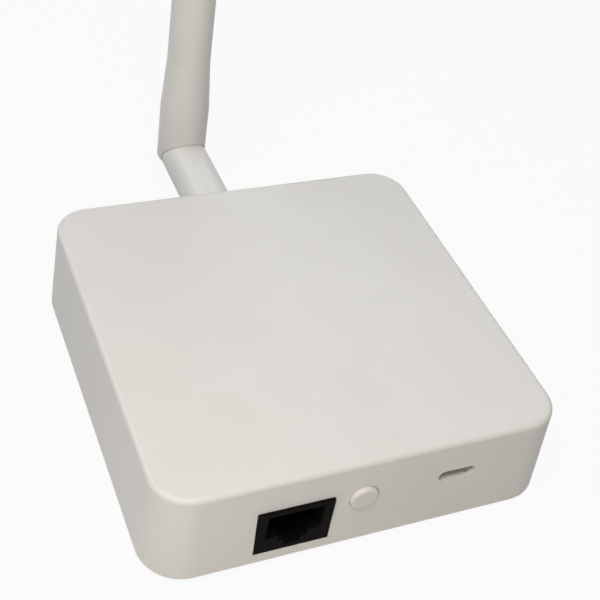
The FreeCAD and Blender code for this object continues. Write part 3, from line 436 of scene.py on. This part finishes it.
def pan_head_screws(name, node_name, head_radius, head_height, shank_radius):
    """Screws for a group of four like solids: domed head, cross recess, threaded shank with a point."""
    low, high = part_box(node_name)
    first = Vector((low.x + head_radius, low.y + head_radius, low.z))
    step = Vector((high.x - low.x - 2 * head_radius, high.y - low.y - 2 * head_radius, 0))
    bpy.ops.object.select_all(action="DESELECT")
    bpy.ops.mesh.primitive_cylinder_add(vertices=head_segments, radius=head_radius, depth=head_height,
                                        location=first + Vector((0, 0, head_height / 2)))
    head = bpy.context.object
    head.name = name
    select_faces(head, lambda face: face.normal.z < -facing)
    bpy.ops.mesh.bevel(offset=head_roll_share * head_height, segments=head_roll_steps)
    settle(head)
    for turned in (False, True):
        bpy.ops.object.select_all(action="DESELECT")
        bpy.ops.mesh.primitive_cube_add(size=1.0, location=first)
        cross = bpy.context.object
        arm = (cross_length_share * head_radius, cross_width_share * head_radius)
        across, along = reversed(arm) if turned else arm
        cross.scale = (across, along, 2 * cross_depth_share * head_height)
        settle(cross)
        apply_modifier(cross, "BEVEL", width=cross_edge, segments=cross_edge_steps)
        apply_modifier(head, "BOOLEAN", object=cross, operation="DIFFERENCE", solver="EXACT")
        bpy.data.objects.remove(cross)
    length = high.z - low.z - head_height
    bpy.ops.object.select_all(action="DESELECT")
    bpy.ops.mesh.primitive_cylinder_add(vertices=shank_segments, radius=shank_radius, depth=length,
                                        location=first + Vector((0, 0, head_height + length / 2)))
    shank = bpy.context.object
    select_faces(shank, lambda face: face.normal.z > facing)
    bpy.ops.mesh.bevel(offset=shank_point_share * shank_radius, segments=shank_point_steps)
    bpy.ops.mesh.select_all(action="SELECT")
    turns_in_all = int(length / screw_pitch)
    for half_turn in range(1, 2 * turns_in_all):
        bpy.ops.mesh.bisect(plane_co=first + Vector((0, 0, head_height + half_turn * screw_pitch / 2)),
                            plane_no=(0, 0, 1))
        bpy.ops.mesh.select_all(action="SELECT")
    bpy.ops.object.mode_set(mode="OBJECT")
    shank.data.transform(Matrix.Translation(shank.location))
    shank.location = (0, 0, 0)
    for point in shank.data.vertices:
        turns = (point.co.z - first.z - head_height) / screw_pitch
        threaded = plain_turns_at_head < turns < turns_in_all - plain_turns_at_point
        if threaded and abs(turns - round(turns)) < root_turns:
            point.co.x = first.x + (point.co.x - first.x) * (1 - screw_thread_share)
            point.co.y = first.y + (point.co.y - first.y) * (1 - screw_thread_share)
    settle(shank)
    bpy.ops.object.select_all(action="DESELECT")
    shank.select_set(True)
    head.select_set(True)
    bpy.context.view_layer.objects.active = head
    bpy.ops.object.join()
    copied_to(head, [(step.x, 0, 0), (0, step.y, 0), (step.x, step.y, 0)])
    settle(head, angle=screw_crease_angle)
    head.data.materials.append(screw_zinc)
    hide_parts(node_name)
    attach(head, "case")


pan_head_screws("plate_screws", "case_screws", head_radius=0.0023, head_height=0.0010, shank_radius=0.00115)
pan_head_screws("board_fixings", "board_screws", head_radius=0.0022, head_height=0.0015, shank_radius=0.0011)

# The circuit board: glass-fibre laminate with green solder mask. Copper tracks show through the
# mask as slightly raised, lighter green lines that run square to the edges.
mask_green = (0.018, 0.105, 0.052)
track_green = (0.035, 0.160, 0.075)
track_scale = 420.0
track_edge_start = 0.30
track_edge_end = 0.34
track_height = 0.00003
mask_roughness = 0.32
mask_spread = 0.1
board_mask = blank_finish("board_mask")
tree = board_mask.node_tree
shader = shader_of(board_mask)
place = tree.nodes.new("ShaderNodeTexCoord")
tracks = tree.nodes.new("ShaderNodeTexVoronoi")
tracks.distance = "CHEBYCHEV"
tracks.feature = "F1"
tracks.inputs["Scale"].default_value = track_scale
track_edge = tree.nodes.new("ShaderNodeMapRange")
track_edge.inputs["From Min"].default_value = track_edge_start
track_edge.inputs["From Max"].default_value = track_edge_end
mask_mix = tree.nodes.new("ShaderNodeMix")
mask_mix.data_type = "RGBA"
mask_mix.inputs["A"].default_value = (*mask_green, 1)
mask_mix.inputs["B"].default_value = (*track_green, 1)
mask_bump = tree.nodes.new("ShaderNodeBump")
mask_bump.inputs["Distance"].default_value = track_height
mask_sheen = placed_group(tree, handled_sheen, {"Roughness": mask_roughness, "Spread": mask_spread})
tree.links.new(place.outputs["Object"], tracks.inputs["Vector"])
tree.links.new(tracks.outputs["Distance"], track_edge.inputs["Value"])
tree.links.new(track_edge.outputs["Result"], mask_mix.inputs["Factor"])
tree.links.new(track_edge.outputs["Result"], mask_bump.inputs["Height"])
tree.links.new(mask_mix.outputs["Result"], shader.inputs["Base Color"])
tree.links.new(mask_bump.outputs["Normal"], shader.inputs["Normal"])
tree.links.new(mask_sheen.outputs["Roughness"], shader.inputs["Roughness"])
give_finish("circuit_board", board_mask)

# The network socket: a deep box moulded in dull black plastic, with eight gilt spring wires under
# its roof that slope down towards the back.
wire_count = 8
wire_radius = 0.00021
wire_flatness = 0.7
wire_segments = 12
wire_half_width = 0.000225
wire_roof_gap = 0.00016
wire_tab = 0.0012
wire_end_rise = 0.0003
wire_crease_angle = 40.0
socket_gloss = 0.03
socket_black = grained_finish("socket_black", tint=(0.0040, 0.0038, 0.0035), shade=(0.0060, 0.0057, 0.0053),
                              roughness=0.65, grain_scale=3000.0, grain_height=0.00002)
shader_of(socket_black).inputs["Specular IOR Level"].default_value = socket_gloss
give_finish("ethernet_jack", socket_black)
gilt = plated_finish("contact_gilt", tint=(0.80, 0.58, 0.24), shade=(0.66, 0.46, 0.18), roughness=0.26,
                     streak_scale=3000.0, stretch=(1, 0.2, 1))
wires_low, wires_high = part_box("ethernet_contacts")
wires_reach = wires_high.y - wires_low.y
wires_fall = wires_high.z - wires_low.z
wire_step = (wires_high.x - wires_low.x - 2 * wire_half_width) / (wire_count - 1)
first_wire = Vector((wires_low.x + wire_half_width, wires_low.y, wires_high.z - wire_roof_gap))
bpy.ops.object.select_all(action="DESELECT")
bpy.ops.mesh.primitive_circle_add(vertices=wire_segments, radius=wire_radius, fill_type="NGON",
                                  location=first_wire, rotation=(math.pi / 2, 0, 0))
wires = bpy.context.object
wires.name = "socket_spring_wires"
wires.scale = (1.0, wire_flatness, 1.0)
bpy.ops.object.transform_apply(location=True, rotation=True, scale=True)
bpy.ops.object.mode_set(mode="EDIT")
bpy.ops.mesh.select_all(action="SELECT")
bpy.ops.mesh.extrude_region_move(TRANSFORM_OT_translate={"value": (0, wire_tab, 0)})
bpy.ops.mesh.extrude_region_move(TRANSFORM_OT_translate={
    "value": (0, wires_reach - wire_tab, wire_end_rise - wires_fall)})
bpy.ops.mesh.select_all(action="SELECT")
bpy.ops.mesh.normals_make_consistent(inside=False)
settle(wires, angle=wire_crease_angle)
copied_to(wires, [(index * wire_step, 0, 0) for index in range(1, wire_count)])
wires.data.materials.append(gilt)
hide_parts("ethernet_contacts")
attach(wires, "case")

# The power socket: a drawn steel shell, flat against the board, round a pale moulded insert. Its
# tongue carries a row of twelve gilt strips on each face.
strip_count = 12
strip_pitch = 0.0005
strip_width = 0.00025
strip_length = 0.0030
strip_thickness = 0.00004
strip_inset = 0.0004
strip_edge_share = 0.4
strip_edge_steps = 2
tongue_height = 0.0007
shell_steel = plated_finish("shell_steel", tint=(0.86, 0.85, 0.83), shade=(0.74, 0.73, 0.71), roughness=0.36,
                            streak_scale=2600.0, stretch=(1, 0.15, 1))
give_finish("usb_c_shell", shell_steel)
tongue_plastic = grained_finish("tongue_plastic", tint=(0.70, 0.67, 0.63), shade=(0.64, 0.61, 0.57),
                                roughness=0.5, grain_scale=4000.0, grain_height=0.00001)
give_finish("usb_c_tongue", tongue_plastic)
tongue_low, tongue_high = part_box("usb_c_tongue")
tongue_middle = (tongue_low + tongue_high) / 2
first_strip = Vector((tongue_middle.x - (strip_count - 1) / 2 * strip_pitch,
                      tongue_low.y + strip_inset + strip_length / 2,
                      tongue_middle.z + tongue_height / 2))
bpy.ops.object.select_all(action="DESELECT")
bpy.ops.mesh.primitive_cube_add(size=1.0, location=first_strip)
strips = bpy.context.object
strips.name = "power_contact_strips"
strips.scale = (strip_width, strip_length, strip_thickness)
settle(strips)
apply_modifier(strips, "BEVEL", width=strip_edge_share * strip_thickness, segments=strip_edge_steps)
copied_to(strips, [
    (index * strip_pitch, 0, -side * tongue_height)
    for side in (0, 1) for index in range(strip_count) if index or side])
strips.data.materials.append(gilt)
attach(strips, "case")

# The reset button: a low round cap moulded in the cover's plastic, polished a little by the mould,
# with a stem that presses a push switch on the board.
button_plastic = grained_finish("button_plastic", tint=(0.735, 0.715, 0.675), shade=(0.70, 0.68, 0.64),
                                roughness=0.42, grain_scale=6000.0, grain_height=0.000006)
give_finish("reset_button", button_plastic)
switch_black = grained_finish("switch_black", tint=(0.02, 0.02, 0.021), shade=(0.03, 0.03, 0.03),
                              roughness=0.5, grain_scale=3500.0, grain_height=0.00001)
give_finish("reset_switch", switch_black)
give_finish("reset_plunger", switch_black)

# The radio module: a small black board under a pressed tin-plated can, with the round socket that
# the antenna's lead is pressed on. The network module and the crystals are finished alike.
module_mask = grained_finish("module_mask", tint=(0.012, 0.013, 0.016), shade=(0.022, 0.023, 0.027),
                             roughness=0.35, grain_scale=1500.0, grain_height=0.00001, patch_scale=300.0)
can_tin = plated_finish("can_tin", tint=(0.68, 0.68, 0.67), shade=(0.56, 0.56, 0.56), roughness=0.32,
                        streak_scale=900.0, stretch=(0.2, 1, 1))
lead_sheath = grained_finish("lead_sheath", tint=(0.02, 0.02, 0.021), shade=(0.035, 0.035, 0.035),
                             roughness=0.48, grain_scale=2500.0, grain_height=0.00001)
for node_name in ("radio_module", "network_module"):
    give_finish(node_name, module_mask)
for node_name in ("radio_shield", "network_shield", "crystals"):
    give_finish(node_name, can_tin)
give_finish("radio_socket", gilt)
give_finish("antenna_lead", lead_sheath)

# The chips, the network transformer and the regulator: black moulded epoxy, faintly grained, on
# tinned legs; beside them the coil's ferrite, tan ceramic capacitors and clear status lights.
resin_ior = 1.52
resin_coat = 0.4
chip_epoxy = grained_finish("chip_epoxy", tint=(0.016, 0.016, 0.018), shade=(0.026, 0.026, 0.028),
                            roughness=0.6, grain_scale=5000.0, grain_height=0.000015)
ferrite = grained_finish("coil_ferrite", tint=(0.05, 0.05, 0.055), shade=(0.075, 0.075, 0.08),
                         roughness=0.55, grain_scale=3500.0, grain_height=0.00002)
ceramic = grained_finish("tan_ceramic", tint=(0.30, 0.20, 0.115), shade=(0.38, 0.27, 0.16),
                         roughness=0.4, grain_scale=2500.0, grain_height=0.00001, patch_scale=600.0)
clear_resin = grained_finish("clear_resin", tint=(0.72, 0.74, 0.66), shade=(0.66, 0.68, 0.58),
                             roughness=0.2, grain_scale=2000.0, grain_height=0.000004)
shader_of(clear_resin).inputs["IOR"].default_value = resin_ior
shader_of(clear_resin).inputs["Coat Weight"].default_value = resin_coat
for node_name in ("network_transformer", "network_chip", "serial_chip", "voltage_regulator"):
    give_finish(node_name, chip_epoxy)
for node_name in ("tank_capacitors", "small_board_parts"):
    give_finish(node_name, ceramic)
give_finish("power_inductor", ferrite)
give_finish("status_lights", clear_resin)

# The antenna connector: gilt turned brass. The washer and nut clamp it in the back wall, and the
# antenna's coupling nut runs on its thread.
thread_pitch = 0.00071
thread_height = 0.00012
bands_at_scale_one = 20 / math.tau
connector_gilt = plated_finish("connector_gilt", tint=(0.76, 0.57, 0.27), shade=(0.62, 0.45, 0.20),
                               roughness=0.28, streak_scale=1800.0, stretch=(1, 1, 1))
tree = connector_gilt.node_tree
place = tree.nodes.new("ShaderNodeTexCoord")
ridges = tree.nodes.new("ShaderNodeTexWave")
ridges.wave_type = "BANDS"
ridges.bands_direction = "Y"
ridges.inputs["Scale"].default_value = 1 / (bands_at_scale_one * thread_pitch)
ridge_bump = tree.nodes.new("ShaderNodeBump")
ridge_bump.inputs["Distance"].default_value = thread_height
tree.links.new(place.outputs["Object"], ridges.inputs["Vector"])
tree.links.new(ridges.outputs["Fac"], ridge_bump.inputs["Height"])
tree.links.new(ridge_bump.outputs["Normal"], shader_of(connector_gilt).inputs["Normal"])
brass_plain = plated_finish("turned_brass", tint=(0.74, 0.55, 0.26), shade=(0.60, 0.43, 0.19),
                            roughness=0.30, streak_scale=2200.0, stretch=(1, 0.3, 1))
waxy_white = grained_finish("waxy_white", tint=(0.80, 0.80, 0.78), shade=(0.76, 0.76, 0.73),
                            roughness=0.35, grain_scale=900.0, grain_height=0.000004)
give_finish("antenna_connector", connector_gilt)
for node_name in ("connector_washer", "connector_nut", "antenna_nut", "antenna_radiator"):
    give_finish(node_name, brass_plain)
for node_name in ("connector_insulator", "antenna_plug_core"):
    give_finish(node_name, waxy_white)
for node_name in ("connector_contact", "antenna_plug_pin"):
    give_finish(node_name, gilt)

# The antenna: a swivel barrel that ends in a ball-shaped hinge, a sleeve that sits over the ball
# like a skirt, and a long tapering rod. All are moulded in smooth satin white plastic. The hinge's
# pin is pressed through the skirt and the ball, with its domed ends just below the skirt's face.
pin_segments = 40
pin_dome_share = 0.35
pin_dome_steps = 4
antenna_plastic = grained_finish("antenna_plastic", tint=(0.775, 0.762, 0.734), shade=(0.750, 0.737, 0.708),
                                 roughness=0.40, grain_scale=4200.0, grain_height=0.000005)
for node_name in ("antenna_barrel", "antenna_knuckle", "antenna_rod"):
    give_finish(node_name, antenna_plastic)
pin_low, pin_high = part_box("hinge_pin")
pin_radius = (pin_high.z - pin_low.z) / 2
bpy.ops.object.select_all(action="DESELECT")
bpy.ops.mesh.primitive_cylinder_add(vertices=pin_segments, radius=pin_radius, depth=pin_high.x - pin_low.x,
                                    location=(pin_low + pin_high) / 2, rotation=(0, math.pi / 2, 0))
pin = bpy.context.object
pin.name = "hinge_rivet"
bpy.ops.object.transform_apply(location=True, rotation=True, scale=True)
select_faces(pin, lambda face: abs(face.normal.x) > facing)
bpy.ops.mesh.bevel(offset=pin_dome_share * pin_radius, segments=pin_dome_steps)
settle(pin)
pin.data.materials.append(antenna_plastic)
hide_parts("hinge_pin")
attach(pin, "swivel")
foam = grained_finish("spacer_foam", tint=(0.80, 0.80, 0.76), shade=(0.70, 0.70, 0.66),
                      roughness=0.85, grain_scale=1800.0, grain_height=0.00015)
give_finish("antenna_feed", lead_sheath)
give_finish("antenna_spacer", foam)
